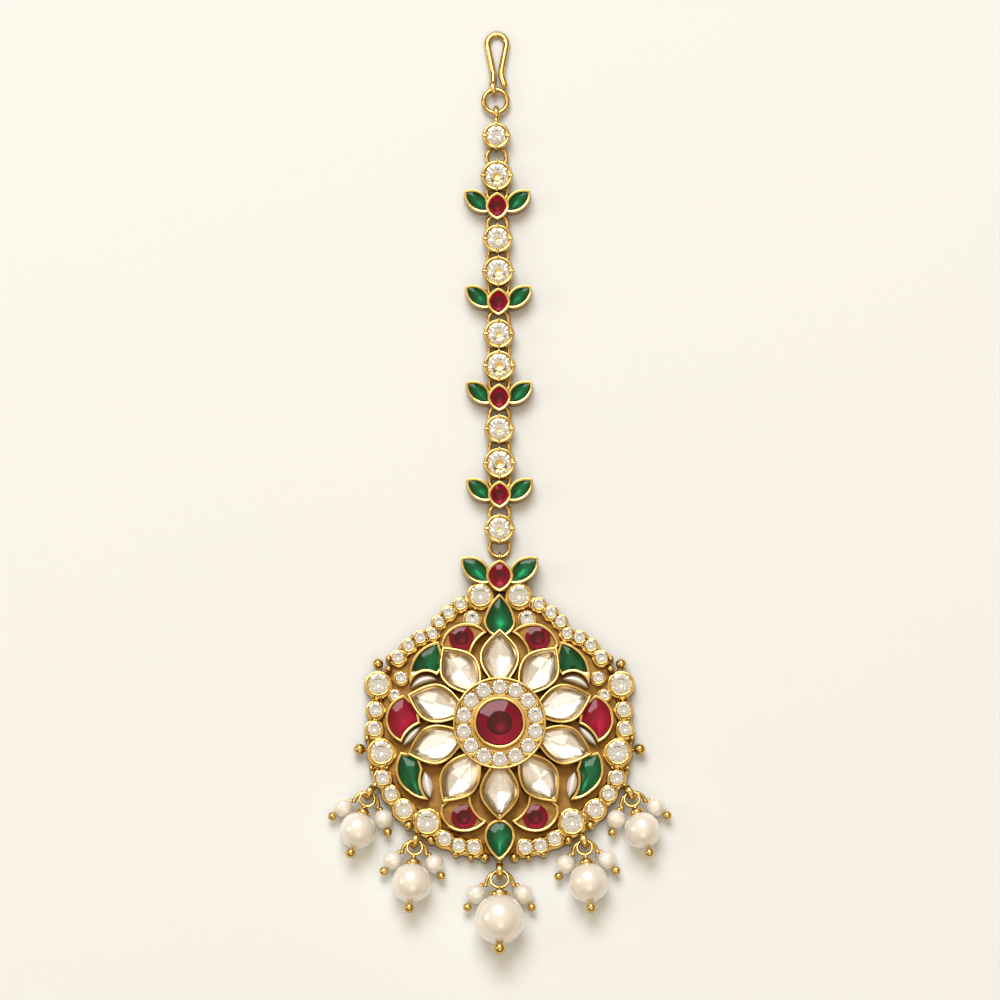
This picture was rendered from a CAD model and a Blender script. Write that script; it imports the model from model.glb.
"""A maang tikka: hook, chain of stone-set links and a round flower pendant with pearl drops.

It lies flat: +Y runs along the chain to the hook, +Z is up. Sizes are in millimetres until a piece is made.
"""
import math

import bmesh
import bpy
import numpy as np
from mathutils import Matrix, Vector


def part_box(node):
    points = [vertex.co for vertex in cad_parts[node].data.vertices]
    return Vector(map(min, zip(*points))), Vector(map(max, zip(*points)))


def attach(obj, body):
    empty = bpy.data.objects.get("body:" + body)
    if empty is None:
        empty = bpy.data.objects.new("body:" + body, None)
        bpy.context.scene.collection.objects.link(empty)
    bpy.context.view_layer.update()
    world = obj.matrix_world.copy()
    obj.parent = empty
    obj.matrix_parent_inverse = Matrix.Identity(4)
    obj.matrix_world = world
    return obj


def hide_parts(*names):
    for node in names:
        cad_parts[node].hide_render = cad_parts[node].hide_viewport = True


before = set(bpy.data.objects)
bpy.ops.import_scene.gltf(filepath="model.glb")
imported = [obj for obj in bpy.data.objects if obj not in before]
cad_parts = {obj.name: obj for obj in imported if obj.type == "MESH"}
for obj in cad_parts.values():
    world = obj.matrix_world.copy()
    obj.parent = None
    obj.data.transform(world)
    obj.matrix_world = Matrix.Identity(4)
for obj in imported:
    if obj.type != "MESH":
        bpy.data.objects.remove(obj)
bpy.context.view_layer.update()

MM = 0.001
TURN = 2 * math.pi
WELD = 2e-4               # points nearer than this become one
STONE_CREASE = 8          # degrees between a stone's facets, past which their edge is creased
HALF_FACET = 360 / 32     # degrees: half of a brilliant's girdle facet
GRAIN_GRID = (10, 6)      # columns and rows of the small grains' spheres
FLOOR_FINISH, SHADED_FINISH, SATIN_FINISH = 1, 2, 3   # places in gold's list of materials

# ---- heights and walls ----
PLATE_Z = 0.90
SINK = 0.05               # how far a setting goes down into the plate
BAND_Z = 1.90
RIM_LIP_Z = 2.90
GEM_LIP_Z = 3.55
CROWN_LIP_Z = 3.90
HALO_Z = 5.12
HALO_LIP_Z = 5.60
CENTRE_LIP_Z = 6.05
PETAL_LIP_AXIS_Z = 5.80   # the petal lips lie on a cone of this height at the axis
PETAL_LIP_FALL = 0.105    # and this fall for each millimetre outwards
UNDER_HALO_Z = 4.2
CUP_BASE_Z = 1.22
CUP_LIP_Z = 2.95
LEAF_BASE_Z = 0.30
CUP_WALL = 0.76           # from a link's stone to the outside of its cup
LINK_REACH = 3.96         # a ring whose middle is nearer than this along the chain passes a link's lug
RIM_WALL = 0.245          # a rim bezel's wall, as a share of its stone's radius
OUTER_ROW_R = 18.2        # rim stones further out than this stand on the band
GRAIN_GAP = 4.6           # grains lie between rim stones that are no further apart
NECK_Z = 1.35             # the necks of the outer balls, where they leave the band
LUG_R = 0.60
LUG_WIRE_R = 0.22
RING_R = 1.60
RING_WIRE_R = 0.37
HOOK_RING_R = 1.90
HOOK_RING_WIRE_R = 0.42
HOOK_WIRE_R = 0.54
LINK_Z = 0.82

# ---- flower ----
PETALS = 10
PETAL_TIP_R = 15.65
PETAL_WIDE_R = 10.95
PETAL_ROOT_R = 5.2
PETAL_HALF_W = 3.25
PETAL_WALL = 0.86
HALO_R = 7.45
HALO_CRYSTAL_R = 1.16
CENTRE_BEZEL_R = 4.20
CENTRE_STONE_R = 3.62

# ---- crown trio ----
CROWN_Y = 24.15
CROWN_LUG_Y = 27.70
CROWN_SCALE = 1.16

PLATE_EDGE = [(0.0, 0.0), (0.985, 0.0), (1.0, 0.18), (1.0, PLATE_Z), (0.0, PLATE_Z)]  # share of reach, height

# gold beads of the right half: x, y, z, radius
BEADS = [
    (17.75, 11.0, 2.2, 0.55),
    (17.75, 9.3, 2.2, 0.66),
    (21.2, -1.85, 1.9, 0.50),
    (20.5, -6.7, 1.9, 0.42),
    (18.0, -6.7, 2.1, 0.40),
    (14.5, -16.0, 1.9, 0.80),
    (11.0, -18.4, 1.9, 0.75),
    (7.0, -20.6, 1.9, 0.60),
    (4.6, -21.2, 1.9, 0.55),
    (2.3, -21.2, 1.9, 0.78),
]
# balls that stand out from the edge on necks, right half: x, y, z, radius, then where the neck starts
OUTER_BALLS = [
    (19.45, 10.2, 1.7, 0.88, 19.0, 8.8),
    (22.4, -3.65, 1.7, 0.95, 20.9, -3.75),
]

# sizes of a drop's hoop: its radius, the pin's eye radius, the small pearls' side step, distance and radius,
# and the end balls' side step and distance
SIDE_HOOP = (1.95, 1.20, 3.35, 3.40, 1.55, 4.62, 5.30)
MIDDLE_HOOP = (2.2, 1.43, 3.80, 3.65, 1.62, 5.15, 5.75)
# drops: x and y of the bail's hole, bail's turn, drop's turn, pearl's radius and distance from the hole, hoop
DROPS = [
    (-20.8, -10.7, -36.0, -16.5, 2.93, 6.60, SIDE_HOOP),
    (-13.46, -18.5, -25.0, -5.0, 3.20, 7.10, SIDE_HOOP),
    (0.0, -23.45, 0.0, 0.0, 4.04, 8.24, MIDDLE_HOOP),
    (13.46, -18.5, 25.0, 6.0, 3.20, 7.10, SIDE_HOOP),
    (20.8, -10.7, 36.0, 17.5, 2.93, 6.60, SIDE_HOOP),
]
BAIL_Z = 2.0
WIRE_STEP = 0.36          # a drop's pin is this far above the bail's middle, and its hoop this far below
STEM_R = 0.45
EYE_WIRE_R = 0.24
PIN_R = 0.28
PIN_BEAD_R = 0.38
HOOP_WIRE_R = 0.33
HOOP_PIN_R = 0.20
HOOP_FOOT_R = 0.36
HOOP_BALL_R = 0.72
HOOP_BEAD_R = 0.42

# coloured stones of the right half or middle: their nodes, the round ones' centres, and the outlines of their
# bezels: a start, then a run for each side, an arc's middle and end or a line's end
GEM_NODES = {
    "emerald_top": ["emerald_1"], "emerald_upper": ["emerald_2", "emerald_3"],
    "emerald_lower": ["emerald_4", "emerald_5"], "emerald_bottom": ["emerald_6"],
    "ruby_upper": ["ruby_1", "ruby_2"], "ruby_side": ["ruby_3", "ruby_4"], "ruby_lower": ["ruby_5", "ruby_6"],
}
ROUND_RUBIES = {"ruby_upper": (6.1, 14.2), "ruby_lower": (5.7, -14.8)}
GEM_OUTLINES = {
    "emerald_top": [(0, 21.4), [(1.75, 19.3), (2.6, 17.1)], [(1.9, 15.1), (0, 14.2)],
                    [(-1.9, 15.1), (-2.6, 17.1)], [(-1.75, 19.3), (0, 21.4)]],
    "emerald_bottom": [(0, -22.0), [(1.7, -20.3), (2.5, -18.2)], [(1.9, -16.2), (0, -15.2)],
                       [(-1.9, -16.2), (-2.5, -18.2)], [(-1.7, -20.3), (0, -22.0)]],
    "ruby_upper": [(1.9, 15.0), [(5.9, 16.55), (9.5, 13.0)], [(8.0, 10.5)], [(4.6, 11.0)],
                   [(3.8, 13.4), (1.9, 15.0)]],
    "emerald_upper": [(9.7, 13.6), [(13.7, 11.0), (14.2, 6.2)], [(12.4, 8.5), (10.0, 7.9)], [(8.6, 10.0)],
                      [(9.7, 13.6)]],
    "ruby_side": [(15.3, 4.95), [(18.3, 1.1), (15.6, -2.9)], [(14.5, -1.0), (12.6, 0.2)], [(13.0, 3.0)],
                  [(15.3, 4.95)]],
    "emerald_lower": [(15.8, -4.3), [(16.55, -8.2), (14.6, -10.9)], [(13.2, -11.8), (11.2, -12.1)],
                      [(12.45, -9.8), (12.2, -7.2)], [(13.0, -5.0)], [(15.8, -4.3)]],
    "ruby_lower": [(9.45, -13.1), [(8.75, -15.9), (5.9, -17.35)], [(3.6, -16.85), (1.9, -15.5)],
                   [(3.9, -13.8), (4.6, -11.2)], [(7.5, -11.0)], [(9.45, -13.1)]],
}
# the slivers' outer and inner arcs
CRESCENTS = [
    [((10.0, 7.5), (12.35, 8.05), (14.1, 6.1)), ((14.1, 6.1), (12.1, 6.95), (10.0, 7.5))],
    [((15.4, -3.1), (14.3, -1.0), (12.6, -0.1)), ((12.6, -0.1), (13.5, -1.75), (15.4, -3.1))],
    [((12.0, -7.4), (12.3, -9.6), (11.1, -11.6)), ((11.1, -11.6), (10.75, -9.6), (12.0, -7.4))],
]


# ---- reading the frame ----
def islands(node):
    """The solids of a CAD node: an array of their centres and one of their half sizes, in millimetres.

    Points are welded by place, and each takes the lowest number found in its triangles until none changes.
    """
    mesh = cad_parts[node].data
    points = np.zeros(len(mesh.vertices) * 3)
    mesh.vertices.foreach_get("co", points)
    places, weld = np.unique(np.round(points.reshape(-1, 3) / MM, 3), axis=0, return_inverse=True)
    corners = np.zeros(len(mesh.loops), int)
    mesh.loops.foreach_get("vertex_index", corners)
    triangles = weld.ravel()[corners].reshape(-1, 3)
    label = np.arange(len(places))
    while True:
        lowest = label.copy()
        np.minimum.at(lowest, triangles, label[triangles].min(1)[:, None])
        lowest = lowest[lowest]
        if (lowest == label).all():
            break
        label = lowest
    names, member = np.unique(label, return_inverse=True)
    low = np.full((len(names), 3), np.inf)
    high = -low
    np.minimum.at(low, member, places)
    np.maximum.at(high, member, places)
    return (low + high) / 2, (high - low) / 2


def middle_of(node):
    """The middle of a CAD node's box, in millimetres."""
    low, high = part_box(node)
    return np.array(low + high) / 2 / MM


# ---- shapes: each is a list of (points, [(faces, finish number), ...]) ----
def grid_faces(rows, columns, loop_rows=False, loop_columns=False):
    """Quads of a grid of points, row by row. A looped direction joins its last line to its first."""
    row = np.arange(rows if loop_rows else rows - 1)[:, None]
    column = np.arange(columns if loop_columns else columns - 1)[None, :]
    next_row = (row + 1) % rows * columns
    next_column = (column + 1) % columns
    row = row * columns
    quads = np.stack([row + column, next_row + column, next_row + next_column, row + next_column], -1)
    return quads.reshape(-1, 4)


def level(plan, z):
    """Plan points at one height, or each at its own."""
    return np.concatenate([plan, np.broadcast_to(np.reshape(z, (-1, 1)), (len(plan), 1))], 1)


def faces_of(*numbers):
    """Faces from their corners' point numbers: for each corner an array, or one number for all the faces."""
    return np.stack(np.broadcast_arrays(*numbers), 1)


def surface(points, loop_rows=False, loop_columns=False, finish=0):
    """A shape from a grid of points [row, column]. Its finish is one number, or one for each column."""
    rows, columns = points.shape[:2]
    faces = grid_faces(rows, columns, loop_rows, loop_columns)
    across = columns if loop_columns else columns - 1
    numbers = np.resize(np.resize(finish, across), len(faces))
    return [(points.reshape(-1, 3), [(faces[numbers == k], k) for k in np.unique(numbers)])]


def moved(shape, at=(0, 0, 0), turn=0.0, matrix=None):
    """A copy of a shape turned about Z by an angle in degrees and moved, or placed by a matrix."""
    if matrix is None:
        matrix = Matrix.Translation(at) @ Matrix.Rotation(math.radians(turn), 4, "Z")
    m = np.array(matrix)
    return [(points @ m[:3, :3].T + m[:3, 3], faces) for points, faces in shape]


def mirrored(shape):
    """A shape's mirror image in X. Its faces are turned right again when the piece is made."""
    return [(points * (-1, 1, 1), faces) for points, faces in shape]


def both(shape):
    """A shape and its mirror image in X."""
    return shape + mirrored(shape)


def arc_points(start, middle, end, step):
    """Points of the arc through three points, its end left out: equal angles about the circle's centre."""
    a, b, c = (complex(*p) for p in (start, middle, end))
    w = (c - a) / (b - a)
    centre = (b - a) * (w - abs(w) ** 2) / (2j * w.imag) + a
    sweep = np.angle((c - centre) / (a - centre))
    half = np.angle((b - centre) / (a - centre))
    if half * sweep < 0 or abs(half) > abs(sweep):
        sweep -= math.copysign(TURN, sweep)
    count = max(3, int(abs(sweep) * abs(a - centre) / step))
    z = centre + (a - centre) * np.exp(1j * sweep * np.arange(count) / count)
    return np.stack([z.real, z.imag], 1)


def line_points(start, end, step):
    """Points of a straight line, its end left out."""
    start, end = np.array(start, float), np.array(end, float)
    count = max(1, int(np.linalg.norm(end - start) / step))
    return start + (end - start) * (np.arange(count) / count)[:, None]


def outline(start, *runs, step=0.22):
    """A closed outline, its inside on the left: a start and runs, an arc's middle and end or a line's end."""
    parts = []
    for run in runs:
        parts.append(arc_points(start, *run, step) if len(run) == 2 else line_points(start, *run, step))
        start = run[-1]
    points = np.concatenate(parts)
    x, y = points.T
    area = (x * np.roll(y, -1) - np.roll(x, -1) * y).sum()
    return points if area > 0 else points[::-1]


def circle(radius, count, start=0.0):
    """Points at equal angles on a circle, the first one a share of their spacing past the X axis."""
    angle = TURN * (np.arange(count) + start) / count
    return np.stack([np.cos(angle), np.sin(angle)], 1) * radius


def offsets(line, distances):
    """A closed outline moved inwards by each distance, as [point, distance].

    A point moves along the sum of the inward normals of its two edges over one plus their dot product. Near a
    sharp corner, points closer to it than the distance over the tangent of half its angle gather at the
    corner's own new place.
    """
    distances = np.asarray(distances, float)
    edge = np.roll(line, -1, 0) - line
    length = np.linalg.norm(edge, axis=1)
    ahead = edge / length[:, None]
    back = np.roll(ahead, 1, 0)
    turn = np.arctan2(back[:, 0] * ahead[:, 1] - back[:, 1] * ahead[:, 0], (back * ahead).sum(1))
    after = np.stack([-ahead[:, 1], ahead[:, 0]], 1)
    before = np.roll(after, 1, 0)
    step = (after + before) / (1.0 + (after * before).sum(1))[:, None]
    placed = line[:, None] + step[:, None] * distances[None, :, None]
    run = np.cumsum(length) - length
    for corner in np.flatnonzero(turn > math.radians(20)):
        gap = np.abs(run - run[corner])
        gap = np.minimum(gap, length.sum() - gap)
        near = gap[:, None] < distances / math.tan((math.pi - turn[corner]) / 2)
        placed = np.where(near[..., None], placed[corner], placed)
    return placed


def inset(line, distance):
    """A closed outline moved inwards."""
    return offsets(line, [distance])[:, 0]


def rounded(*corners, steps=4):
    """A closed profile from corners (across, height, rounding).

    Each corner is cut back by its rounding along both edges, and a parabola joins the two cuts.
    """
    corner = np.array(corners, float)
    place, cut = corner[:, :2], corner[:, 2:]
    to_next = np.roll(place, -1, 0) - place
    to_next /= np.linalg.norm(to_next, axis=1)[:, None]
    t = np.linspace(0, 1, steps)[None, :, None]
    first = (place - np.roll(to_next, 1, 0) * cut)[:, None]
    last = (place + to_next * cut)[:, None]
    points = (first * (1 - t) ** 2 + 2 * place[:, None] * t * (1 - t) + last * t ** 2).reshape(-1, 2)
    step = np.linalg.norm(points - np.roll(points, 1, 0), axis=1)
    return points[step > 1e-4]


def carry(line, profile, lift=None, finish=0):
    """A closed profile of (inset, height) carried round a closed outline with mitred corners.

    With a lift, heights below 0 hang from the height that lift gives at each place, down to the plate.
    """
    plan = offsets(line, profile[:, 0])
    height = np.broadcast_to(profile[:, 1], plan.shape[:2])
    if lift is not None:
        height = np.maximum(lift(plan) + height, PLATE_Z - 0.02)
    points = np.concatenate([plan, height[..., None]], -1)
    return surface(points, True, True, finish)


def lathe(profile, count):
    """A profile of (radius, height) turned about Z. It ends on the axis or closes on itself."""
    angle = TURN * np.arange(count)[:, None] / count
    radius, height = profile.T
    points = np.stack([np.cos(angle) * radius, np.sin(angle) * radius, height + 0 * angle], -1)
    return surface(points, True, bool(radius[0] or radius[-1]))


def ball(radius, at=(0, 0, 0), columns=24, rows=16):
    """A sphere: a half circle turned about Z."""
    angle = np.linspace(-math.pi / 2, math.pi / 2, rows + 1)
    across = np.cos(angle)
    across[[0, -1]] = 0
    return moved(lathe(np.stack([across, np.sin(angle)], 1) * radius, columns), at)


def tube(path, radius, normal=(0, 0, 1), closed=False, sides=16, flat=1.0):
    """A round wire along a path that lies in a plane with the given normal.

    Each section is a circle across the path, its side along the normal scaled by flat. Open ends are domes:
    a quarter circle of further sections that shrink to a point.
    """
    path = np.array(path, float)
    normal = np.array(normal, float) / np.linalg.norm(normal)
    size = np.ones(len(path))
    if closed:
        along = np.roll(path, -1, 0) - np.roll(path, 1, 0)
    else:
        along = np.gradient(path, axis=0)
    along /= np.linalg.norm(along, axis=1)[:, None]
    if not closed:
        a = np.linspace(0, math.pi / 2, 5)[1:]
        reach = (np.sin(a) * radius)[:, None]
        path = np.concatenate([(path[0] - along[0] * reach)[::-1], path, path[-1] + along[-1] * reach])
        along = np.concatenate([np.tile(along[0], (4, 1)), along, np.tile(along[-1], (4, 1))])
        dome = np.cos(a)
        dome[-1] = 0
        size = np.concatenate([dome[::-1], size, dome])
    side = np.cross(normal, along)
    angle = TURN * np.arange(sides) / sides
    across = side[:, None] * np.cos(angle)[None, :, None]
    across = across + normal * (np.sin(angle) * flat)[None, :, None]
    return surface(path[:, None] + across * (size * radius)[:, None, None], closed, True)


def torus(radius, wire, at=(0, 0, 0), count=40, sides=12):
    """A ring of round wire that lies flat."""
    return moved(tube(level(circle(radius, count), 0.0), wire, closed=True, sides=sides), at)


def lug(x, y):
    """A small ring that stands on edge along Y, under a link."""
    path = circle(LUG_R, 24)
    path = np.stack([np.zeros(24), path[:, 0], path[:, 1]], 1)
    return moved(tube(path, LUG_WIRE_R, (1, 0, 0), True, 10), (x, y, LINK_Z))


def loop_on_edge(length, height, thick, width):
    """A flat-sided loop that stands on edge along Y: a wire of oval section, thick by width.

    Its path is two half circles joined by straight lines, round a hole of the given length and height.
    """
    length, height = length + thick, height + thick
    r = min(length, height) / 2
    y, z = length / 2 - r, height / 2 - r
    turn = np.linspace(0, TURN, 64, endpoint=False)
    corner_y = np.where(np.cos(turn) >= 0, y, -y)
    corner_z = np.where(np.sin(turn) >= 0, z, -z)
    path = np.stack([0 * turn, corner_y + np.cos(turn) * r, corner_z + np.sin(turn) * r], 1)
    return tube(path, thick / 2, (1, 0, 0), True, flat=width / thick)


def route(points, radii, step=0.25):
    """A path of straight runs with each inner corner rounded by an arc of the given radius."""
    points = np.array(points, float)
    runs = [points[:1]]
    for before, corner, after, radius in zip(points, points[1:], points[2:], radii):
        back = (before - corner) / np.linalg.norm(before - corner)
        ahead = (after - corner) / np.linalg.norm(after - corner)
        half = math.acos(float(back @ ahead)) / 2
        cut = radius / math.tan(half)
        to_centre = (back + ahead) / np.linalg.norm(back + ahead)
        centre = corner + to_centre * radius / math.sin(half)
        sweep = math.pi - 2 * half
        t = np.linspace(0, 1, max(4, int(sweep * radius / step)))[:, None]
        first = corner + back * cut - centre
        last = corner + ahead * cut - centre
        runs.append(centre + (first * np.sin((1 - t) * sweep) + last * np.sin(t * sweep)) / math.sin(sweep))
    runs.append(points[-1:])
    path = np.concatenate(runs)
    length = np.concatenate([[0], np.cumsum(np.linalg.norm(np.diff(path, axis=0), axis=1))])
    even = np.linspace(0, length[-1], int(length[-1] / step))
    return np.stack([np.interp(even, length, path[:, k]) for k in range(path.shape[1])], 1)


# ---- stones: finish 0 is the cut glass, finish 1 the foil below it, and finish 2 a second foil ----
def stone_shape(points, *parts):
    """A shape whose parts, each a list of face arrays, have the finishes 0, 1 and so on."""
    return [(points, [(faces, finish) for finish, part in enumerate(parts) for faces in part])]


def brilliant(radius, culet=0.84):
    """A round brilliant with its girdle at z = 0.

    Eight-fold: a table, star triangles, kites down to the girdle and pairs of girdle triangles; below, long
    triangles and kites to a point, as deep as the culet. Every measure is a share of the radius.
    """
    girdle = 0.07
    # the rings of points from the table down: how many, where they start, radius, height
    rings = ((8, 0, 0.55, 0.30), (8, 0.5, 0.80, 0.168), (16, 0, 1.0, 0.0), (16, 0, 1.0, -girdle),
             (8, 0.5, 0.42, -0.566))
    points = [level(circle(r, count, start), z) for count, start, r, z in rings]
    points = np.concatenate([*points, [[0, 0, -culet - girdle]]]) * radius
    k = np.arange(8)
    k1 = (k + 1) % 8
    star, star1, low = k + 8, k1 + 8, k + 48
    g, g1, g2 = 16 + 2 * k, 17 + 2 * k, 16 + 2 * k1
    edge = 16 + np.arange(16)
    edge1 = np.roll(edge, -1)
    crown = [k[None], faces_of(k, star, k1), faces_of(k1, star, g2, star1), faces_of(star, g, g1),
             faces_of(star, g1, g2)]
    foiled = [faces_of(edge, edge + 16, edge1 + 16, edge1), faces_of(low, g1 + 16, g + 16),
              faces_of(low, g2 + 16, g1 + 16), faces_of(56, low, g + 16, np.roll(low, 1))]
    return stone_shape(points, crown, foiled)


def cut_stone(girdle, centre, girdle_z, top_z, bottom_z, table):
    """A stone cut to an outline of a few corners.

    Its crown is a flat table, a scaled copy of the outline, with a bevel to each side. Below the girdle a
    belt of triangles leads to a smaller copy, turned by half a side, and on to a point.
    """
    count = len(girdle)
    out = girdle - centre
    halfway = (out + np.roll(out, -1, 0)) / 2
    belly_z = girdle_z + (bottom_z - girdle_z) * 0.62
    levels = ((out * table, top_z), (out, girdle_z), (out, girdle_z - 0.12), (halfway * 0.55, belly_z))
    points = np.concatenate([*(level(plan + centre, z) for plan, z in levels), [[*centre, bottom_z]]])
    ring = np.arange(4 * count).reshape(4, count)
    a, b, c, d = ring
    a1, b1, c1, d1 = np.roll(ring, -1, 1)
    foiled = [faces_of(b, c, c1, b1), faces_of(c, d, c1), faces_of(c1, d, d1), faces_of(d, 4 * count, d1)]
    return stone_shape(points, [a[None], faces_of(a, b, b1, a1)], foiled)


def round_stone(radius, at, table_z, crown, foil_z, table=0.53):
    """A round stone with an eight-sided table, its corners at a share of the radius.

    Each side of the crown is a plane that falls from a side of the table by the crown's height over the way
    to the edge, so the round edge is scalloped. Below, a foil cone leads to a point. Inside the table's share
    of the radius it has the deep foil.
    """
    count = 48
    spoke = circle(1.0, count, 0.5)
    off = (TURN * (np.arange(count) + 0.5) / count - math.pi / 8) % (math.pi / 4) - math.pi / 8
    side = table * radius * math.cos(math.pi / 8)
    fall = crown / (radius - side) * (np.cos(off) * radius - side)
    girdle_z = table_z - crown - 0.15
    levels = ((side / np.cos(off), table_z), (radius, table_z - fall), (radius, girdle_z),
              (radius * table, foil_z + table * (girdle_z - foil_z)))
    points = [level(spoke * np.reshape(r, (-1, 1)) + at, z) for r, z in levels]
    walls = grid_faces(4, count, False, True)
    k = np.arange(count)
    point = faces_of((k + 1) % count + 3 * count, k + 3 * count, 4 * count)
    points = np.concatenate([*points, [[*at, foil_z]]])
    return stone_shape(points, [k[None], walls[:count]], [walls[count:]], [point])


def few_corners(line, count):
    """A closed outline thinned to a few corners, evenly spread between the sharp ones.

    It is sharp where its next edge over its last, as complex numbers, turns by more than 28 degrees.
    """
    edge = np.roll(line, -1, 0) - line
    back = line - np.roll(line, 1, 0)
    # of points that lie together the last is sharp, and so may the first be: put() welds the two corners
    with np.errstate(divide="ignore", invalid="ignore"):
        turn = np.abs(np.angle((edge[:, 0] + 1j * edge[:, 1]) / (back[:, 0] + 1j * back[:, 1])))
    sharp = np.flatnonzero(turn > math.radians(28))
    length = np.concatenate([[0], np.cumsum(np.linalg.norm(edge, axis=1))])
    total = length[-1]
    if len(sharp) == 0:
        sharp = np.array([0])
    starts = length[sharp]
    ends = np.append(starts[1:], starts[0] + total)
    spots = []
    for start, end in zip(starts, ends):
        parts = max(1, round((end - start) / total * count))
        spots.append(start + (end - start) * np.arange(parts) / parts)
    spots = np.concatenate(spots) % total
    ring = np.concatenate([line, line[:1]])
    return np.stack([np.interp(spots, length, ring[:, 0]), np.interp(spots, length, ring[:, 1])], 1)


# ---- making a piece ----
def outward(points, groups):
    """A closed shell's face groups, turned over if its signed volume is negative.

    The volume is a sixth of the triple products of the triangles that fan out from each face's first corner.
    """
    volume = 0.0
    for faces, _ in groups:
        corner = points[faces]
        for k in range(1, faces.shape[1] - 1):
            volume += np.einsum("ij,ij->", corner[:, 0], np.cross(corner[:, k], corner[:, k + 1]))
    return [(faces[:, ::-1] if volume < 0 else faces, finish) for faces, finish in groups]


def put(name, shape, finish, *nodes, sharp=38.0):
    """Makes a piece: joins a shape's shells into one mesh in metres, faces outwards and welded.

    Edges sharper than an angle in degrees are creased. At an angle of 0 every face is flat.
    """
    slot, materials = finish
    points, faces, numbers = [], [], []
    offset = 0
    for shell_points, groups in shape:
        points.append(shell_points)
        for array, number in outward(shell_points, groups):
            faces += (array + offset).tolist()
            numbers += [number] * len(array)
        offset += len(shell_points)
    mesh = bpy.data.meshes.new(name)
    mesh.from_pydata(np.concatenate(points), [], faces)
    mesh.polygons.foreach_set("material_index", numbers)
    work = bmesh.new()
    work.from_mesh(mesh)
    bmesh.ops.remove_doubles(work, verts=work.verts, dist=WELD)
    work.to_mesh(mesh)
    work.free()
    mesh.transform(Matrix.Scale(MM, 4))
    mesh.polygons.foreach_set("use_smooth", [sharp > 0] * len(mesh.polygons))
    if sharp:
        mesh.set_sharp_from_angle(angle=math.radians(sharp))
    for material in materials:
        mesh.materials.append(material)
    piece = bpy.data.objects.new(name, mesh)
    bpy.context.scene.collection.objects.link(piece)
    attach(piece, "root")
    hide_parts(*nodes)


# ---- finishes ----
def new_material(name, values):
    """A node material, its tree and its Principled shader, with plain values on the shader's own sockets."""
    material = bpy.data.materials.new(name)
    material.use_nodes = True
    shader = material.node_tree.nodes["Principled BSDF"]
    for socket, value in values.items():
        shader.inputs[socket].default_value = value
    return material, material.node_tree, shader


def add_node(tree, kind, inputs=None, **settings):
    """A new shader node with its settings, and then the values of its inputs."""
    made = tree.nodes.new("ShaderNode" + kind)
    for name, value in settings.items():
        setattr(made, name, value)
    for name, value in (inputs or {}).items():
        made.inputs[name].default_value = value
    return made


def connect(tree, *runs):
    """Links in a node tree: each from a node's output to a node's input."""
    for source, output, sink, socket in runs:
        tree.links.new(source.outputs[output], sink.inputs[socket])


def make_patina_group():
    """Gold's changes over the surface: colour and roughness from fine and broad noise, and a soft bump.

    Faces that look up are rubbed bright; the steeper a face, the deeper its tone.
    """
    group = bpy.data.node_groups.new("patina", "ShaderNodeTree")
    for name, way, kind in (
            ("Bright", "INPUT", "Color"), ("Deep", "INPUT", "Color"), ("Gloss", "INPUT", "Float"),
            ("Color", "OUTPUT", "Color"), ("Roughness", "OUTPUT", "Float"), ("Height", "OUTPUT", "Float")):
        group.interface.new_socket(name, in_out=way, socket_type="NodeSocket" + kind)
    source = group.nodes.new("NodeGroupInput")
    sink = group.nodes.new("NodeGroupOutput")
    place = add_node(group, "TexCoord")
    broad = add_node(group, "TexNoise", {"Scale": 450.0, "Detail": 3.0})
    fine = add_node(group, "TexNoise", {"Scale": 2600.0, "Detail": 2.0})
    spread = add_node(group, "MapRange", {"From Min": 0.42, "From Max": 0.68})
    tone = add_node(group, "Mix", data_type="RGBA")
    facing = add_node(group, "SeparateXYZ")
    side = add_node(group, "MapRange", {"From Min": 0.62, "From Max": 0.08})
    worn = add_node(group, "Mix", {"B": (0.46, 0.38, 0.22, 1)}, data_type="RGBA", blend_type="MULTIPLY")
    rough = add_node(group, "Math", {1: 0.10}, operation="MULTIPLY_ADD")
    connect(group, (place, "Object", broad, "Vector"), (place, "Object", fine, "Vector"),
            (broad, "Fac", spread, "Value"), (spread, "Result", tone, "Factor"),
            (source, "Bright", tone, "A"), (source, "Deep", tone, "B"),
            (place, "Normal", facing, "Vector"), (facing, "Z", side, "Value"),
            (side, "Result", worn, "Factor"), (tone, "Result", worn, "A"), (worn, "Result", sink, "Color"),
            (fine, "Fac", rough, 0), (source, "Gloss", rough, 2), (rough, "Value", sink, "Roughness"),
            (fine, "Fac", sink, "Height"))
    return group


def gold(name, bright, deep, gloss, bump):
    """A gold finish: metal whose colour and gloss wander a little between a bright and a deeper tone."""
    material, tree, shader = new_material(name, {"Metallic": 1.0})
    tones = {"Bright": (*bright, 1), "Deep": (*deep, 1), "Gloss": gloss}
    patina = add_node(tree, "Group", tones, node_tree=PATINA)
    relief = add_node(tree, "Bump", {"Strength": bump, "Distance": 0.00002})
    connect(tree, (patina, "Height", relief, "Height"), (relief, "Normal", shader, "Normal"),
            (patina, "Color", shader, "Base Color"), (patina, "Roughness", shader, "Roughness"))
    return material


def mottled(name, light, dark, scale, values):
    """A finish whose base colour wanders between two tones with noise on the object's own place."""
    material, tree, shader = new_material(name, values)
    place = add_node(tree, "TexCoord")
    noise = add_node(tree, "TexNoise", {"Scale": scale})
    mix = add_node(tree, "Mix", {"A": (*light, 1), "B": (*dark, 1)}, data_type="RGBA")
    connect(tree, (place, "Object", noise, "Vector"), (noise, "Fac", mix, "Factor"),
            (mix, "Result", shader, "Base Color"))
    return material


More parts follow.
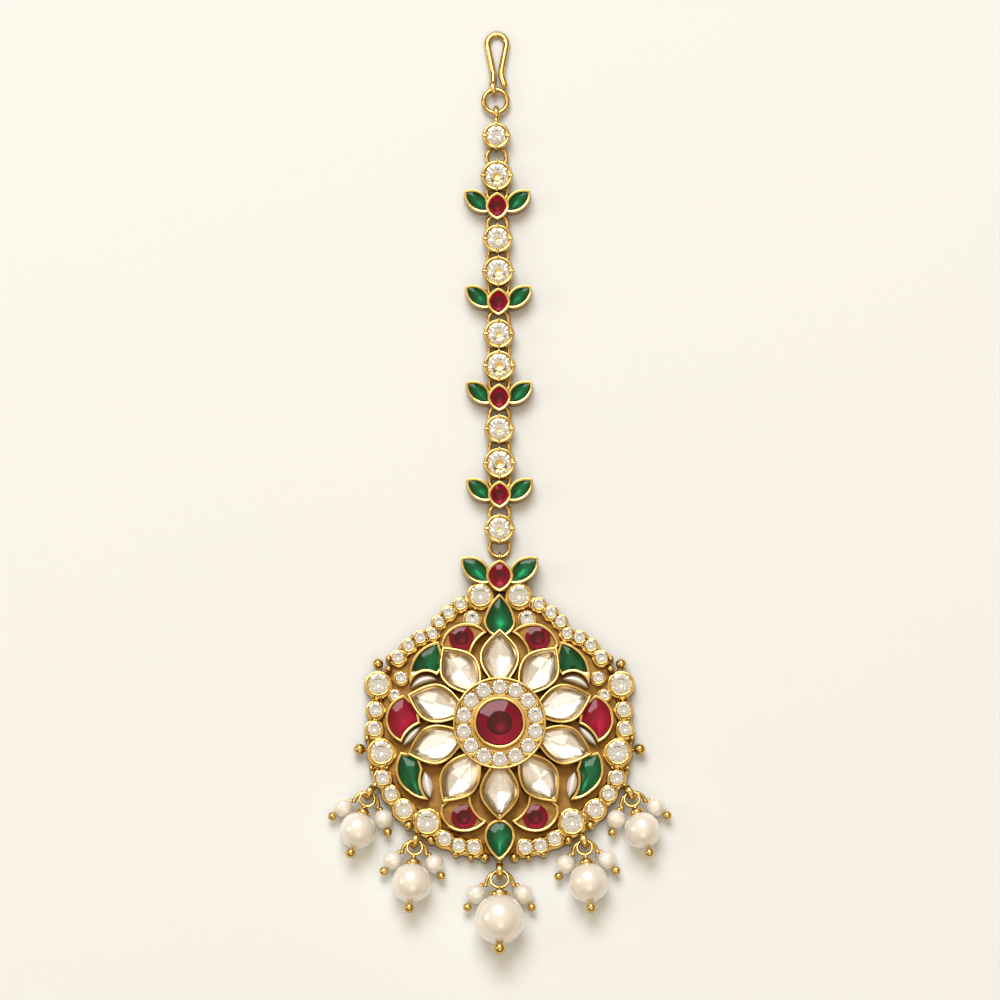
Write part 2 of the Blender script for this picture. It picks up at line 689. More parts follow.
def glass(name, light, dark, ior=1.65):
    """Cut glass for the crown of a stone."""
    return mottled(name, light, dark, 300.0, {"Roughness": 0.02, "IOR": ior, "Transmission Weight": 1.0})


def foil(name, light, dark, roughness, metal):
    """The bright foil behind a stone: a mirror where metal is 1, and part lacquer below that."""
    return mottled(name, light, dark, 500.0, {"Metallic": metal, "Roughness": roughness})


def pearl_finish(name, light, dark):
    """Pearl: nacre with a broad soft sheen, part metal, under a thin satin coat."""
    return mottled(name, light, dark, 260.0, {
        "Metallic": 0.14, "Roughness": 0.26, "Subsurface Weight": 0.15,
        "Subsurface Radius": (0.0012, 0.0008, 0.0005), "Subsurface Scale": 1.0,
        "Coat Weight": 1.0, "Coat Roughness": 0.09})


PATINA = make_patina_group()
POLISHED = gold("polished_gold", (0.88, 0.645, 0.23), (0.67, 0.44, 0.12), 0.10, 0.25)
ANTIQUE = gold("antique_gold", (0.31, 0.17, 0.05), (0.18, 0.085, 0.024), 0.30, 0.5)
SHADED = gold("shaded_gold", (0.60, 0.39, 0.12), (0.40, 0.23, 0.06), 0.22, 0.4)
SATIN = gold("satin_gold", (0.86, 0.65, 0.35), (0.72, 0.48, 0.22), 0.24, 0.2)
RUBY_GLASS = glass("ruby_glass", (0.68, 0.010, 0.16), (0.58, 0.006, 0.12), 1.42)
RUBY_FOIL = foil("ruby_foil", (0.90, 0.03, 0.42), (0.72, 0.02, 0.30), 0.36, 0.6)
DEEP_FOIL = foil("deep_ruby_foil", (0.20, 0.007, 0.06), (0.12, 0.004, 0.035), 0.30, 0.7)
EMERALD_GLASS = glass("emerald_glass", (0.015, 0.52, 0.28), (0.010, 0.40, 0.20), 1.42)
EMERALD_FOIL = foil("emerald_foil", (0.07, 0.50, 0.34), (0.035, 0.34, 0.21), 0.32, 0.7)
CLEAR_GLASS = glass("clear_glass", (1.0, 1.0, 1.0), (0.97, 0.97, 0.96))
SILVER_FOIL = foil("silver_foil", (0.95, 0.97, 1.0), (0.87, 0.89, 0.92), 0.07, 1.0)
CHAMPAGNE_FOIL = foil("champagne_foil", (0.95, 0.96, 0.97), (0.85, 0.84, 0.81), 0.21, 1.0)
TAN_FOIL = foil("tan_foil", (0.86, 0.76, 0.60), (0.70, 0.59, 0.43), 0.28, 0.8)
PEARL = ("pearl", [pearl_finish("pearl_nacre", (1.0, 0.985, 0.93), (0.98, 0.95, 0.87))])
SHELL = ("clear_stone", [pearl_finish("mother_of_pearl", (0.98, 0.98, 0.97), (0.93, 0.93, 0.91))])

RUBY = ("ruby", [RUBY_GLASS, RUBY_FOIL, DEEP_FOIL])
EMERALD = ("emerald", [EMERALD_GLASS, EMERALD_FOIL])
CLEAR = ("clear_stone", [CLEAR_GLASS, SILVER_FOIL])
POLKI = ("clear_stone", [CLEAR_GLASS, CHAMPAGNE_FOIL, TAN_FOIL])
GOLD = ("gold", [POLISHED, ANTIQUE, SHADED, SATIN])


# ---- settings ----
def bezel(line, base, lip, width, seat):
    """A bezel wall round an outline: a slightly leaning outer wall, a soft lip and an inner wall."""
    profile = rounded(
        (0.0, base, 0.0), (0.05, lip, 0.12), (width - 0.04, lip - 0.05, 0.10), (width + 0.02, seat, 0.0),
        (width + 0.02, base, 0.0))
    return carry(line, profile)


def seated(points, centres, radii, floor):
    """Lowers a grid of points under each round stone, by 0.95 of how far inside its edge they are."""
    inside = (radii - np.linalg.norm(points[..., None, :2] - centres, axis=-1)).max(-1)
    points[..., 2] = np.where(inside > 0, np.maximum(points[..., 2] - inside * 0.95, floor), points[..., 2])
    return points


def padded_round(points, centres, radii, reach, fall):
    """Lowers a grid of points away from round settings: by a square of the way past them, up to a reach."""
    past = (np.linalg.norm(points[..., None, :2] - centres, axis=-1) - radii).min(-1)
    points[..., 2] -= fall * np.clip(past / reach, 0, 1) ** 2
    return points


def round_seat_floor(line, centre, radius, top, depth):
    """A floor between an outline and a round stone in it, each point joined to the circle at its own angle.

    Inside the circle it falls to a point below the stone.
    """
    away = line - centre
    ring = away / np.linalg.norm(away, axis=1)[:, None] * radius + centre
    middle = np.broadcast_to(centre, line.shape)
    rows = ((middle, PLATE_Z), (line, PLATE_Z), (line, top), (ring, top), (ring, top - 0.3),
            (middle, top - depth))
    return surface(np.stack([level(plan, z) for plan, z in rows], 1), True, False, FLOOR_FINISH)


def seat_floor(line, base, top):
    """A closed plate that fills an outline, the floor of a setting."""
    count = len(line)
    sides = grid_faces(2, count, False, True)[:, ::-1]
    ends = np.stack([np.arange(count)[::-1], np.arange(count, 2 * count)])
    points = np.concatenate([level(line, base), level(line, top)])
    return [(points, [(sides, FLOOR_FINISH), (ends, FLOOR_FINISH)])]


# ---- chain ----
def pointed_oval(half_w, half_h):
    """An oval with a point at its top and bottom."""
    x, y = half_w * 0.76, half_h * 0.52
    return outline((0, half_h), [(x, y), (half_w, 0)], [(x, -y), (0, -half_h)], [(-x, -y), (-half_w, 0)],
                   [(-x, y), (0, half_h)], step=0.18)


def leaf(scale):
    """The right-hand leaf of a trio: its tip up and out, its root behind the oval."""
    root, tip, shoulder = (1.30, -1.0), (5.35, 2.55), (1.45, 1.05)
    return outline(root, [(4.15, -0.45), tip], [(3.2, 2.62), shoulder], [root], step=0.2) * scale


def trio_metal(scale, leaf_base, base, lip):
    """The soldered cups of a trio: two leaves and a pointed oval in front of them."""
    def cup(line, foot, rim, wall, depth):
        """A bezel round an outline, and the floor in it."""
        floor = seat_floor(inset(line, 0.1), foot, lip - 0.9)
        return bezel(line, foot, rim, wall, lip - depth) + floor

    wings = cup(leaf(scale), leaf_base, lip - 0.05, 0.50, 0.6)
    return both(wings) + cup(pointed_oval(1.95 * scale, 2.30 * scale), base, lip + 0.06, 0.54, 0.5)


def trio_stones(scale, lip):
    """The oval's ruby, a round stone drawn out along Y, and the two emerald leaves."""
    foil_z = lip - 0.75
    ruby = round_stone(1.48 * scale, (0, 0), lip + 0.12, 0.36, foil_z)
    girdle = few_corners(inset(leaf(scale), 0.42), 13)
    emerald = cut_stone(girdle, (3.25 * scale, 1.05 * scale), lip - 0.26, lip - 0.01, foil_z, 0.50)
    return moved(ruby, matrix=Matrix.Diagonal((1, 1.16, 1, 1))), both(emerald)


def cup_metal(radius):
    """A round cup: a lathe with a narrower foot and a collar with a soft lip, and four prongs across it."""
    stone_r = radius - CUP_WALL
    profile = rounded(
        (0.0, CUP_BASE_Z, 0.0), (radius - 0.25, CUP_BASE_Z, 0.1), (radius + 0.10, CUP_BASE_Z + 0.40, 0.2),
        (radius - 0.02, CUP_LIP_Z - 0.35, 0.2), (radius - 0.14, CUP_LIP_Z, 0.14),
        (radius - 0.42, CUP_LIP_Z - 0.01, 0.10), (stone_r + 0.03, CUP_LIP_Z - 0.22, 0.04),
        (stone_r, CUP_LIP_Z - 0.8, 0.0), (0.0, CUP_BASE_Z + 0.08, 0.0))
    profile = profile[np.argmin(np.abs(profile[:, 0]) + profile[:, 1]):]
    cup = lathe(profile, 48)
    for turn in range(0, 360, 90):
        cup += moved(moved(prong(radius - stone_r), (stone_r + 0.28, 0, CUP_LIP_Z - 0.06)), turn=turn)
    return cup


def prong(length):
    """A short round-ended bar that lies across the collar and holds the stone's edge."""
    return tube(np.linspace((-0.20, 0, -0.02), (length * 0.52, 0, -0.03), 5), 0.22, sides=12)


def build_chain():
    """The chain's round cups, trios and rings, each where the CAD model has its stone or wire."""
    def row(name):
        """A node's solids from the hook down: their centres and half sizes."""
        centres, sizes = islands(name)
        order = np.argsort(-centres[:, 1])
        return centres[order], sizes[order]

    rings = islands("chain_rings")[0]

    def lugs(x, y):
        """The lugs under a link: one where each neighbouring ring passes."""
        shape = []
        for ring_y in rings[np.abs(rings[:, 1] - y) < LINK_REACH, 1]:
            shape += lug(x, ring_y + math.copysign(RING_R, y - ring_y))
        return shape

    crystals = []
    for i, ((x, y, _), (stone_r, _, _)) in enumerate(zip(*row("chain_clear_stones"))):
        metal = moved(cup_metal(stone_r + CUP_WALL), (x, y, 0)) + lugs(x, y)
        if i == 0:
            # the bail that the hook's ring goes through, and its stem
            top = y + stone_r + CUP_WALL
            bail = loop_on_edge(length=1.35, height=1.15, thick=0.5, width=0.95)
            metal += moved(bail, (x, top + 1.73, 1.2))
            metal += moved(tube([(0, -0.5, 0), (0, 0.5, 0)], 0.4, flat=0.9), (x, top + 0.35, 1.5))
        put(f"link_cup_{i + 1}_gold", metal, GOLD, f"link_cup_{i + 1}")
        crystals += moved(brilliant(stone_r + 0.06, 0.88), (x, y, CUP_LIP_Z - 0.18), HALF_FACET)
    put("chain_crystals", crystals, CLEAR, "chain_clear_stones", sharp=0)

    metal = trio_metal(1.0, LEAF_BASE_Z, CUP_BASE_Z, CUP_LIP_Z)
    ruby, emeralds = trio_stones(1.0, CUP_LIP_Z)
    ruby_row, emerald_row = [], []
    for i, (x, y, _) in enumerate(row("chain_rubies")[0]):
        put(f"leaf_link_{i + 1}_gold", moved(metal, (x, y, 0)) + lugs(x, y), GOLD, f"leaf_link_{i + 1}")
        ruby_row += moved(ruby, (x, y, 0))
        emerald_row += moved(emeralds, (x, y, 0))
    put("chain_ruby_ovals", ruby_row, RUBY, "chain_rubies", sharp=STONE_CREASE)
    put("chain_emerald_leaves", emerald_row, EMERALD, "chain_emeralds", sharp=0)

    wires = []
    for ring in rings:
        wires += torus(RING_R, RING_WIRE_R, tuple(ring))
    put("chain_ring_wires", wires, GOLD, "chain_rings")


# ---- hook ----
def build_hook():
    """The hook, one bent wire with its eye and the sleeve that joins them, and the ring in the eye."""
    eye_x, eye_y, eye_z, slope = -1.05, 103.90, 1.2, 4.0
    # the wire goes up from its free end, round the top and down to the eye
    bends = [(0.80, 104.5, 0), (0.20, 106.5, 0), (1.45, 112.95, 0), (-2.35, 112.95, 0), (eye_x, 106.5, 0),
             (eye_x, 105.0, 0)]
    hook = tube(route(bends, [3.0, 1.62, 1.62, 3.0]), HOOK_WIRE_R, sides=20)
    eye = loop_on_edge(length=1.70, height=1.25, thick=0.50, width=0.9)
    hook += moved(eye, (eye_x, eye_y, 0), turn=14)
    hook += tube(np.linspace((eye_x, 104.9, 0), (-1.02, 106.6, 0), 8), HOOK_WIRE_R + 0.02, sides=20)
    tilt = (Matrix.Translation((0, eye_y, eye_z)) @ Matrix.Rotation(math.radians(-slope), 4, "X")
            @ Matrix.Translation((0, -eye_y, 0)))
    put("hook_wire", moved(hook, matrix=tilt), GOLD, "hook")
    centre = middle_of("hook_ring")
    put("hook_ring_wire", torus(HOOK_RING_R, HOOK_RING_WIRE_R, tuple(centre), 64, 18), GOLD, "hook_ring")


# ---- pendant ----
def petal_height(plan):
    """The height of the petal lips: a cone that falls away from the axis. Under the halo they stop short."""
    away = np.linalg.norm(plan, axis=-1)
    return np.where(away < HALO_R - 0.25, UNDER_HALO_Z, PETAL_LIP_AXIS_Z - PETAL_LIP_FALL * away)


def leaf_oval(half_w, tip, wide, root):
    """A petal's outline along +Y: the half width is a cosine that falls from the widest place to each end."""
    t = np.linspace(-1, 1, 65)
    x = half_w * np.cos(t * math.pi / 2)
    y = wide + t * np.where(t > 0, tip - wide, wide - root)
    right = np.stack([x, y], 1)
    return np.concatenate([right, (right * (-1, 1))[-2:0:-1]])


def petal_metal(line):
    """A petal's bezel: a round lip, then a satin slope that leads down to the stone."""
    slope_start = 0.52
    profile = rounded(
        (0.0, -5.0, 0.0), (0.03, 0.0, 0.18), (0.45, -0.02, 0.16), (slope_start, -0.24, 0.03),
        (PETAL_WALL - 0.03, -0.40, 0.03), (PETAL_WALL, -0.66, 0.0), (PETAL_WALL, -5.0, 0.0))
    middle = (profile + np.roll(profile, -1, 0)) / 2
    slope = (middle[:, 0] > slope_start) & (middle[:, 0] < PETAL_WALL - 0.02) & (middle[:, 1] > -1)
    return carry(line, profile, petal_height, slope * SATIN_FINISH)


def petal_stone(line):
    """A petal's stone: a bevelled band round a long four-sided point.

    Each side of the point is a plane that falls by the same height to the inner outline's side as to its tip
    or root. The band leads down to the bezel's slope. The foil lies flat below, champagne under the point and
    tan under the band. The halo's edge cuts the stone off.
    """
    half_w, tip, wide, root = 1.58, 13.85, PETAL_WIDE_R, 8.0
    edge = inset(line, PETAL_WALL - 0.05)
    edge = edge * np.maximum(1.0, (HALO_R - 0.1) / np.linalg.norm(edge, axis=1))[:, None]
    shoulder = leaf_oval(half_w, tip, wide, root)
    up = shoulder[:, 1] - wide
    fall = np.abs(shoulder[:, 0]) / half_w + np.where(up > 0, up / (tip - wide), -up / (wide - root))
    seat = PETAL_LIP_AXIS_Z - PETAL_LIP_FALL * wide
    foil_z, top = seat - 1.15, seat + 0.32
    rows = ((shoulder * (0.97, 1), foil_z), (edge, foil_z), (edge, petal_height(edge) - 0.48),
            (shoulder, top - 0.34 * fall), (np.array([[0.0, wide]]), top))
    points = np.concatenate([level(plan, z) for plan, z in rows])
    count = len(edge)
    k = np.arange(count)
    shell = grid_faces(4, count, False, True)[:, ::-1]
    point = faces_of(3 * count + k, 3 * count + (k + 1) % count, 4 * count)
    return [(points, [(shell[:count], 2), (shell[count:], 0), (point, 0), (k[None, ::-1], 1)])]


def rim_outline(stones, walls):
    """The scalloped edges of a row of circles: at each angle, their farthest and their nearest reach.

    A ray at some angle cuts a circle where its distance along the ray, plus or minus the half chord, says.
    """
    ray = circle(1.0, 900)
    along = ray @ stones.T
    off = (stones ** 2).sum(1)[None, :] - along ** 2
    room = walls[None, :] ** 2 - off
    half = np.sqrt(np.maximum(room, 0))
    met = (room > 0) & (along > 0)
    reach = np.where(met, along + half, 0).max(1)
    near = np.where(met, along - half, np.inf).min(1)
    return ray, reach, near


def bridged(reach, window=3):
    """An edge's reach with its narrow clefts filled: the highest over a window of angles, then the lowest."""
    highest = np.max([np.roll(reach, k) for k in range(-window, window + 1)], 0)
    return np.min([np.roll(highest, k) for k in range(-window, window + 1)], 0)


def sliver(outer, inner, base, edge, dome):
    """A crescent between two arcs that share their tips. Across it, the top is a half sine over its edges."""
    count = 24
    t = np.linspace(0, 1, count)

    def along(arc):
        """Points at even shares of an arc's own points."""
        run = np.concatenate([arc_points(*arc, 0.02), [arc[2]]])
        return np.stack([np.interp(t * (len(run) - 1), np.arange(len(run)), run[:, k]) for k in (0, 1)], 1)

    first, last = along(outer), along(inner)[::-1]
    across = np.linspace(0, 1, 9)
    plan = first[:, None] * (1 - across)[None, :, None] + last[:, None] * across[None, :, None]
    height = edge + dome * np.sin(math.pi * across)[None, :] * np.sin(math.pi * t)[:, None] ** 0.4
    top = np.concatenate([plan, height[..., None]], -1)
    under = np.concatenate([plan[:, ::-1], np.full((count, 9, 1), base)], -1)
    return surface(np.concatenate([top, under], 1), False, True)


def round_bezel(stone_r, wall, base, lip):
    """A ring bezel for a round stone: outer wall, rounded lip and a slope down to the stone."""
    profile = rounded(
        (stone_r + wall, base, 0.0), (stone_r + wall - 0.03, lip, 0.09),
        (stone_r + wall * 0.45, lip - 0.02, 0.06), (stone_r - 0.02, lip - 0.22, 0.0),
        (stone_r - 0.02, base, 0.0))
    return lathe(profile, 36)


def build_rim():
    """The back plate, the scalloped band on its edge, and the band's bezels, crystals and beads."""
    stones, sizes = islands("rim_stones")
    spots, radii = stones[:, :2], sizes[:, 0]
    walls = radii * RIM_WALL
    margin = walls + radii + 0.28
    outer = np.linalg.norm(spots, axis=1) > OUTER_ROW_R

    # plate and band, with a seat under each stone and a collar round each one inside the band
    beads = np.array([(s * x, y, z, r) for x, y, z, r in BEADS for s in (-1, 1)])
    circles = np.concatenate([spots, beads[:, :2]])
    ray, reach, _ = rim_outline(circles, np.concatenate([margin, beads[:, 3] * 0.9]))
    inner = rim_outline(spots[outer], margin[outer] + 0.1)[2]
    reach = bridged(np.maximum(reach, 17.0))
    inner = np.minimum(-bridged(-inner), reach - 0.4)

    def ring(r, z):
        """The band's closed line at these distances from the axis, at one height."""
        return level(ray * r[:, None], z)

    plate = np.stack([ring(reach * share, z) for share, z in PLATE_EDGE], 1)
    put("pendant_back_plate", surface(plate, True, False, FLOOR_FINISH), GOLD, "pendant_frame")
    low, top, collar_z = PLATE_Z - SINK, BAND_Z, BAND_Z - 0.08
    rows = [ring(inner, low), ring(inner, top - 0.1)]
    rows += [ring(inner + 0.05 + (reach - inner - 0.15) * t, top) for t in np.linspace(0, 1, 24)]
    rows += [ring(reach, top - 0.12), ring(reach, low)]
    grid = np.stack(rows, 1)
    grid[:, 1:-1] = padded_round(grid[:, 1:-1], spots[outer], (walls + radii)[outer], reach=0.75, fall=0.55)
    grid[:, 2:-2] = seated(grid[:, 2:-2], spots[outer], radii[outer], floor=PLATE_Z - 0.02)
    band = surface(grid, True, True)
    for (x, y), radius, stone_r in zip(spots[~outer], margin[~outer] - 0.1, radii[~outer]):
        collar = rounded((stone_r, PLATE_Z, 0), (radius, PLATE_Z, 0), (radius, collar_z, 0.08),
                         (stone_r, collar_z, 0))
        band += moved(lathe(collar, 36), (x, y, 0))
    for x, y, z, r, from_x, from_y in OUTER_BALLS:
        band += both(tube([(from_x, from_y, NECK_Z), (x, y, z)], 0.34, sides=12))
        band += both(ball(r, (x, y, z), 28, 18))
    put("rim_band", band, GOLD, "pendant_frame")

    rings, crystals, grains = [], [], []
    for (x, y), radius, wall in zip(spots, radii, walls):
        lip = RIM_LIP_Z + 0.1 * (radius - 1.0)
        rings += moved(round_bezel(radius, wall, PLATE_Z, lip), (x, y, 0))
        crystals += moved(brilliant(radius + 0.02), (x, y, lip - 0.2), math.degrees(math.atan2(y, x)))
    put("rim_bezels", rings, GOLD, "pendant_frame")
    put("rim_crystals", crystals, CLEAR, "rim_stones", sharp=0)

    # a pair of grains between neighbours of the outer row, one each side of the line that joins them
    row = spots[outer]
    row = row[np.argsort(np.arctan2(row[:, 1], row[:, 0]))]
    after = np.roll(row, -1, 0)
    gap = after - row
    length = np.linalg.norm(gap, axis=1)
    aside = gap[:, ::-1] * (1, -1) / length[:, None]
    near = length <= GRAIN_GAP
    for spot, side in zip(((row + after) / 2)[near], aside[near]):
        for way in (-1, 1):
            grains += ball(0.26, (*(spot + side * way * 0.62), BAND_Z + 0.75), *GRAIN_GRID)
    for x, y, z, r in beads:
        grains += ball(r, (x, y, z), 24, 14)
    put("gold_grains", grains, GOLD, "pendant_frame")


def build_gems():
    """The coloured stones between the petals in their bezels, and the clear slivers beside them."""
    settings, stones = [], []
    for name, runs in GEM_OUTLINES.items():
        line = outline(*runs)
        shape = bezel(line, PLATE_Z - SINK, GEM_LIP_Z, width=0.52, seat=GEM_LIP_Z - 0.5)
        if name in ROUND_RUBIES:
            centre = ROUND_RUBIES[name]
            shape += round_seat_floor(inset(line, 0.2), centre, radius=1.88, top=2.9, depth=1.7)
            stones.append(round_stone(2.02, centre, table_z=3.5, crown=0.29, foil_z=2.3, table=0.55))
        else:
            shape += seat_floor(inset(line, 0.2), base=PLATE_Z - 0.04, top=1.95)
            girdle = few_corners(inset(line, 0.45), 16)
            stone = cut_stone(girdle, line.mean(0), girdle_z=3.22, top_z=3.52, bottom_z=2.45, table=0.52)
            stones.append(stone)
        settings += both(shape) if len(GEM_NODES[name]) > 1 else shape
    put("gem_bezels", settings, GOLD, "pendant_frame")
    for name, stone in zip(GEM_OUTLINES, stones):
        for node in GEM_NODES[name]:
            on_left = middle_of(node)[0] < -0.5
            finish = RUBY if node.startswith("ruby") else EMERALD
            put(f"{node}_stone", mirrored(stone) if on_left else stone, finish, node, sharp=STONE_CREASE)

    slivers = []
    for arcs in CRESCENTS:
        slivers += both(sliver(*arcs, base=1.2, edge=2.55, dome=0.5))
    put("crescent_shells", slivers, SHELL, "crescent_stones")


def build_petals():
    """The flower's petals: one bezel and stone, turned to each place."""
    line = leaf_oval(PETAL_HALF_W, PETAL_TIP_R, PETAL_WIDE_R, PETAL_ROOT_R)
    metal = []
    for i in range(PETALS):
        turn = -i * 360 / PETALS
        node = f"petal_stone_{i + 1:02d}"
        metal += moved(petal_metal(line), turn=turn)
        put(f"{node}_polki", moved(petal_stone(line), turn=turn), POLKI, node, sharp=6)
    put("petal_bezels", metal, GOLD, "pendant_frame")


def build_halo():
    """The flower's middle: the crystals on a floor between two turned walls, their grains, and the ruby."""
    low, floor_low, wall_r, floor_count = 2.0, 2.2, HALO_R - 0.42, 420
    halo = lathe(rounded(
        (HALO_R, low, 0), (HALO_R, HALO_LIP_Z, 0.13), (HALO_R - 0.34, HALO_LIP_Z, 0.12),
        (wall_r, HALO_Z - 0.1, 0.1), (wall_r, low, 0)), 160)
    halo += lathe(rounded(
        (CENTRE_BEZEL_R, low, 0), (CENTRE_BEZEL_R, CENTRE_LIP_Z, 0.16),
        (CENTRE_STONE_R + 0.12, CENTRE_LIP_Z, 0.12), (CENTRE_STONE_R, CENTRE_LIP_Z - 0.5, 0),
        (CENTRE_STONE_R, low, 0)), 120)
    places = islands("halo_stones")[0][:, :2]
    spoke = circle(1.0, floor_count)
    inside, outside = CENTRE_BEZEL_R - 0.1, HALO_R - 0.3
    rows = [level(spoke * r, HALO_Z) for r in np.linspace(inside, outside, 32)]
    ground = seated(np.stack(rows, 1), places, np.full(len(places), HALO_CRYSTAL_R + 0.04), floor=3.9)
    under = [level(spoke * r, floor_low)[:, None] for r in (inside, outside)]
    halo += surface(np.concatenate([under[0], ground, under[1]], 1), True, True, SHADED_FINISH)
    crystals, grains = [], []
    for x, y in places:
        crystals += moved(brilliant(HALO_CRYSTAL_R), (x, y, HALO_Z + 0.14))
        angle = math.atan2(y, x) + TURN / (2 * len(places))
        for r, size in ((6.74, 0.29), (5.02, 0.26)):
            grains += ball(size, (math.cos(angle) * r, math.sin(angle) * r, HALO_Z + 0.18), *GRAIN_GRID)
    put("halo_setting", halo, GOLD, "pendant_frame")
    put("halo_grains", grains, GOLD, "pendant_frame")
    put("halo_crystals", crystals, CLEAR, "halo_stones", sharp=0)
    ruby = round_stone(CENTRE_STONE_R, (0, 0), table_z=6.5, crown=0.54, foil_z=4.5)
    put("centre_ruby_stone", ruby, RUBY, "centre_ruby", sharp=STONE_CREASE)


def build_crown():
    """The trio on top of the pendant, larger than a link's, and the lug that the last ring passes."""
    at = (0, CROWN_Y, 0)
    base = PLATE_Z - SINK
    crown = moved(trio_metal(CROWN_SCALE, base, base, CROWN_LIP_Z), at) + lug(0, CROWN_LUG_Y)
    put("crown_trio_gold", crown, GOLD, "pendant_frame")
    ruby, emeralds = trio_stones(CROWN_SCALE, CROWN_LIP_Z)
    put("crown_ruby_oval", moved(ruby, at), RUBY, "crown_ruby", sharp=STONE_CREASE)
    put("crown_emerald_leaves", moved(emeralds, at), EMERALD, "crown_emeralds", sharp=0)


# ---- drops ----
def build_drops():
    """The bails, and in each a pin through a large pearl and an arched hoop with two small pearls."""
    def hung(x, y, z, turn):
        """A matrix that turns about Z by degrees and then moves."""
        return Matrix.Translation((x, y, z)) @ Matrix.Rotation(math.radians(turn), 4, "Z")

    bails, hoops, small = [], [], []
    for i, (x, y, bail_turn, turn, pearl_r, pearl_t, sizes) in enumerate(DROPS):
        hoop_r, eye_r, small_v, small_t, small_r, ball_v, ball_t = sizes
        bail = loop_on_edge(length=1.78, height=1.74, thick=0.52, width=1.14)
        bail += tube([(0, 1.2, -0.4), (0, 2.1, -0.5)], STEM_R)
        bails += moved(bail, matrix=hung(x, y, BAIL_Z, bail_turn))

        # pin with its eye, bead, rod, end ball and cap: it rises to the pearl's middle
        rise = math.asin((pearl_r - BAIL_Z - WIRE_STEP) / pearl_t)
        lean = hung(x, y, BAIL_Z + WIRE_STEP, turn) @ Matrix.Rotation(-rise, 4, "X")
        neck, end = -2 * eye_r, (0, -pearl_t - pearl_r - 0.95, 0)
        pin = torus(eye_r, EYE_WIRE_R, (0, -eye_r, 0), 48)
        pin += ball(PIN_BEAD_R, (0, neck - 0.25, 0))
        pin += tube([(0, neck - 0.3, 0), end], PIN_R)
        pin += ball(pearl_r * 0.16 + 0.32, end, 32, 20)
        pin += pearl_cap(pearl_r, pearl_t)
        put(f"drop_pin_{i + 1}_gold", moved(pin, matrix=lean), GOLD, f"drop_pin_{i + 1}")
        centre = middle_of(f"pearl_{i + 1}")
        put(f"pearl_{i + 1}_bead", ball(pearl_r, tuple(centre), 64, 48), PEARL, f"pearl_{i + 1}")

        # hoop, its two pins and small pearls
        flat = hung(x, y, BAIL_Z - WIRE_STEP, turn)
        angle = np.linspace(0, math.pi, 40)
        arch = np.stack([np.cos(angle) * hoop_r, np.sin(angle) * hoop_r - hoop_r, 0 * angle], 1)
        hoop = tube(arch, HOOP_WIRE_R, sides=14)
        for side in (-1, 1):
            spots = np.array([(hoop_r, hoop_r, 0), (small_v, small_t, 0), (ball_v, ball_t, 0)])
            foot, start, end = spots * (side, -1, 0)
            way = (end - start) / np.linalg.norm(end - start)
            knee = start - way * (np.linalg.norm(start - foot) - 0.15)
            hoop += tube([knee, end], HOOP_PIN_R, sides=10)
            hoop += ball(HOOP_FOOT_R, tuple(foot))
            hoop += ball(HOOP_BALL_R, tuple(end), 28, 18)
            hoop += ball(HOOP_BEAD_R, tuple(start - way * (small_r + 0.06)), 16, 10)
            small += moved(ball(small_r, tuple(start), 48, 36), matrix=flat)
        hoops += moved(hoop, matrix=flat)
    put("drop_bails", bails, GOLD, "pendant_frame")
    put("drop_hoop_wires", hoops, GOLD, "drop_hoops")
    put("small_pearl_beads", small, PEARL, "small_pearls")


def pearl_cap(pearl_r, pearl_t):
    """A cap turned about the pin: it hugs the pearl, with a wide flange, a step and a collar above."""
    reach = pearl_r * 0.43
    a = np.linspace(0, math.asin(reach / pearl_r), 8)
    under = np.stack([np.sin(a), np.cos(a)], 1) * (pearl_r + 0.06)
    edge = math.sqrt(pearl_r ** 2 - reach ** 2)
    over = rounded(
        (0.0, edge, 0.0), (reach * 0.96, edge, 0.05), (reach, pearl_r - 0.10, 0.05),
        (reach + 0.04, pearl_r + 0.36, 0.20), (reach * 0.70, pearl_r + 0.42, 0.06),
        (reach * 0.58, pearl_r + 0.74, 0.12), (0.48, pearl_r + 0.86, 0.10),
        (0.46, pearl_r + 1.15, 0.15), (0.0, pearl_r + 1.20, 0.0))[3:]
    under[0, 0] = over[-1, 0] = 0
    cap = lathe(np.concatenate([under, over]), 40)
    upright = Matrix.Translation((0, -pearl_t, 0)) @ Matrix.Rotation(math.radians(-90), 4, "X")
    return moved(cap, matrix=upright)


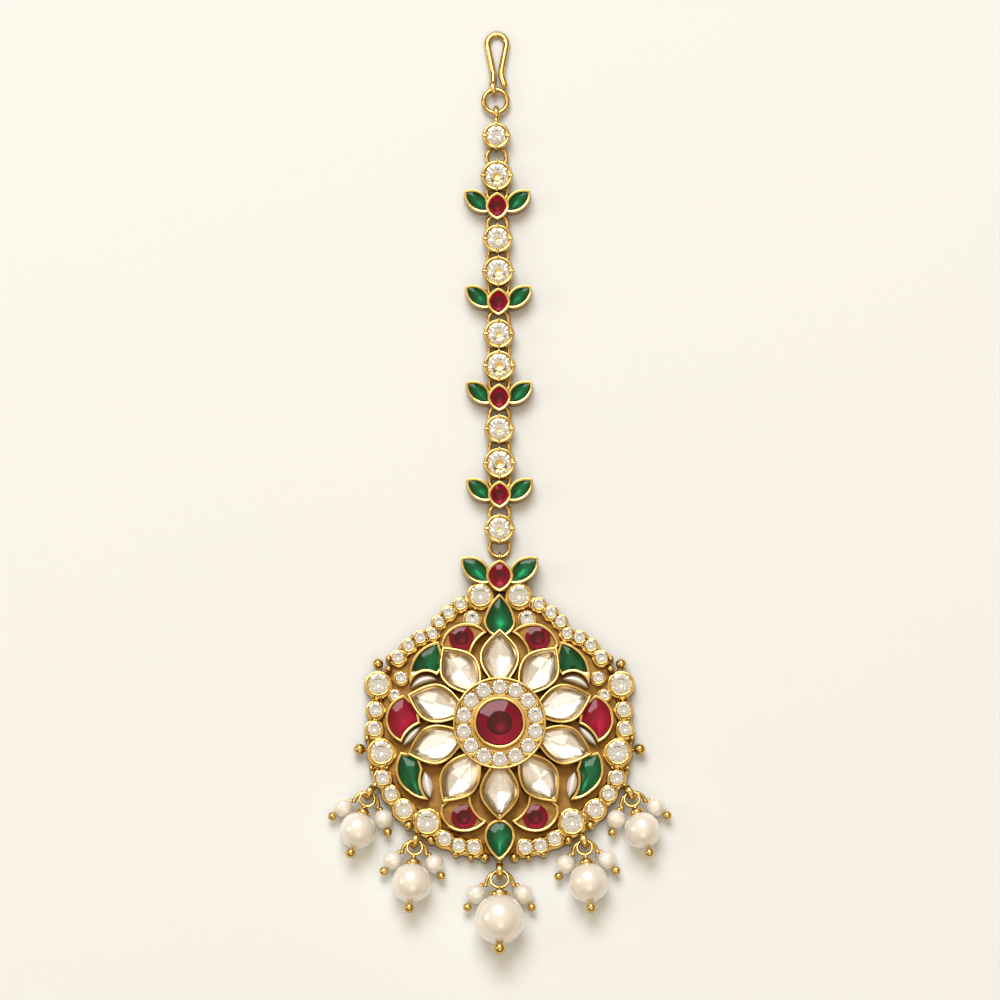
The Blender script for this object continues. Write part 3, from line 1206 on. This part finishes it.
# ---- stage ----
def build_stage():
    """A pale floor, warm surroundings that are palest overhead, three soft round lights, and the camera."""
    scene = bpy.context.scene
    reach = 6.0
    floor_mesh = bpy.data.meshes.new("floor")
    floor_mesh.from_pydata([(-reach, -reach, 0), (reach, -reach, 0), (reach, reach, 0), (-reach, reach, 0)],
                           [], [(0, 1, 2, 3)])
    floor_mesh.materials.append(
        mottled("pale_floor", (0.885, 0.94, 0.985), (0.875, 0.93, 0.975), 20.0, {"Roughness": 0.9}))
    floor = bpy.data.objects.new("floor", floor_mesh)
    scene.collection.objects.link(floor)

    world = bpy.data.worlds.new("studio")
    world.use_nodes = True
    scene.world = world
    tree = world.node_tree
    back = tree.nodes["Background"]
    back.inputs["Strength"].default_value = 1.0
    ramp = add_node(tree, "ValToRGB")
    stops = ramp.color_ramp.elements
    stops.new(0.6)
    for stop, colour in zip(stops, ((0.12, 0.07, 0.03), (0.32, 0.21, 0.10), (0.95, 0.80, 0.59))):
        stop.color = (*colour, 1)
    split = add_node(tree, "SeparateXYZ")
    connect(tree, (add_node(tree, "TexCoord"), "Generated", split, "Vector"), (split, "Z", ramp, "Fac"),
            (ramp, "Color", back, "Color"))

    for name, at, size, watts, colour in (
            ("north_light", (-0.20, 1.04, 1.48), 1.24, 21.4, (0.98, 0.985, 0.985)),
            ("south_light", (0.20, -1.10, 1.36), 0.90, 2.2, (1.0, 0.96, 0.90)),
            ("west_light", (-1.50, 0.10, 0.90), 0.68, 2.8, (1.0, 0.95, 0.88))):
        light = bpy.data.lights.new(name, "AREA")
        light.shape = "DISK"
        light.size = size
        light.energy = watts
        light.color = colour
        lamp = bpy.data.objects.new(name, light)
        scene.collection.objects.link(lamp)
        lamp.location = at
        aim = -lamp.location.normalized()
        lamp.rotation_mode = "QUATERNION"
        lamp.rotation_quaternion = aim.to_track_quat("-Z", "Y")

    camera_data = bpy.data.cameras.new("camera")
    camera_data.lens = 1000.0
    camera_data.clip_start = 0.01
    camera = bpy.data.objects.new("camera", camera_data)
    scene.collection.objects.link(camera)
    elevation = math.radians(80.0)
    span = 0.160
    distance = span * camera_data.lens / camera_data.sensor_width
    target = np.array([0.00006, 0.0365, 0.0035])
    away = np.array([0.0, -math.cos(elevation), math.sin(elevation)])
    camera.location = target + away * distance
    camera.rotation_euler = (math.pi / 2 - elevation, 0.0, 0.0)
    scene.camera = camera
    scene.view_settings.view_transform = "Standard"


build_hook()
build_chain()
build_rim()
build_gems()
build_petals()
build_halo()
build_crown()
build_drops()
build_stage()
